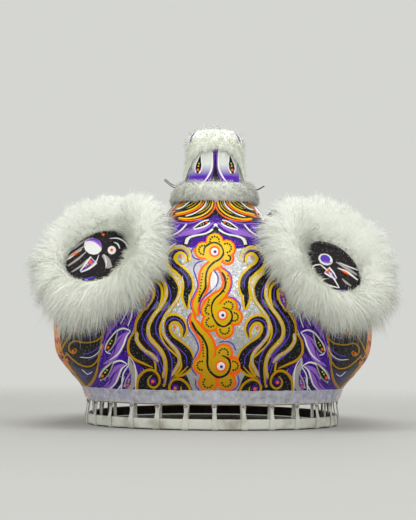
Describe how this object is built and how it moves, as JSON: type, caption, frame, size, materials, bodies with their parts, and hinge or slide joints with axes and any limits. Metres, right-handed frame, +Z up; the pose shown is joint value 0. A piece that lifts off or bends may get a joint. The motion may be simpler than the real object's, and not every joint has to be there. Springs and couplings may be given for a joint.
{
  "type": "lion dance head",
  "caption": "Papered lion dance head on a tied rim hoop, with furred ears that swing, a fur-trimmed horn and a lower jaw that closes.",
  "frame": {"origin": "on the floor under the middle of the whole head's box", "axes": "+Z up, +Y the way the lion looks, +X to the right as seen from behind it"},
  "size_m": [0.6966, 0.6483, 0.587],
  "materials": {
    "shell_paint": "glossy lacquer over flames in black, yellow, violet and silver",
    "horn_paint": "glossy lacquer over violet petals",
    "ear_paint": "glossy lacquer over black with white lines",
    "face_paint": "glossy lacquer",
    "white_fur": "long off-white fur",
    "white_wrap": "wound cloth tape",
    "clear_tape": "clear film",
    "cane": "split bamboo",
    "dark_wire": "dull wire",
    "pin_steel": "plain",
    "eye_enamel": "glossy enamel"
  },
  "bodies": {
    "head": {"brow_fur_left": "white_fur", "brow_fur_right": "white_fur", "ear_pin_left": "pin_steel", "ear_pin_right": "pin_steel", "edge_cane": "cane", "edge_tape": "clear_tape", "eye_left": "eye_enamel", "eye_right": "eye_enamel", "eyelid_left": "face_paint", "eyelid_right": "face_paint", "horn": "horn_paint", "horn_collar": "white_fur", "horn_hood": "white_fur", "horn_wire_left": "dark_wire", "horn_wire_right": "dark_wire", "jaw_pin_left": "pin_steel", "jaw_pin_right": "pin_steel", "lip_fur": "white_fur", "nose": "face_paint", "rim_hoop": "white_wrap", "shell": "shell_paint", "tie_01": "white_wrap", "tie_02": "white_wrap", "tie_03": "white_wrap", "tie_04": "white_wrap", "tie_05": "white_wrap", "tie_06": "white_wrap", "tie_07": "white_wrap", "tie_08": "white_wrap", "tie_09": "white_wrap", "tie_10": "white_wrap", "tie_11": "white_wrap", "tie_12": "white_wrap", "tie_13": "white_wrap", "tie_14": "white_wrap", "tie_15": "white_wrap", "tie_16": "white_wrap", "tie_17": "white_wrap", "tie_18": "white_wrap", "tie_19": "white_wrap", "tie_20": "white_wrap", "tie_21": "white_wrap"},
    "ear_left": {"ear_left": "ear_paint", "ear_fur_left": "white_fur"},
    "ear_right": {"ear_right": "ear_paint", "ear_fur_right": "white_fur"},
    "jaw": {"jaw": "face_paint", "jaw_fur": "white_fur"}
  },
  "joints": [
    {"name": "ear_left_lift", "type": "hinge", "parent": "head", "child": "ear_left", "pos_m": [-0.10694, -0.23462, 0.3981], "axis": [0.446, 0.7423, -0.5], "range_deg": [0, 15]},
    {"name": "ear_right_lift", "type": "hinge", "parent": "head", "child": "ear_right", "pos_m": [0.10694, -0.23462, 0.3981], "axis": [0.446, -0.7423, 0.5], "range_deg": [0, 15]},
    {"name": "jaw_close", "type": "hinge", "parent": "head", "child": "jaw", "pos_m": [0, 0.045, 0.078], "axis": [1, 0, 0], "range_deg": [0, 14]}
  ]
}
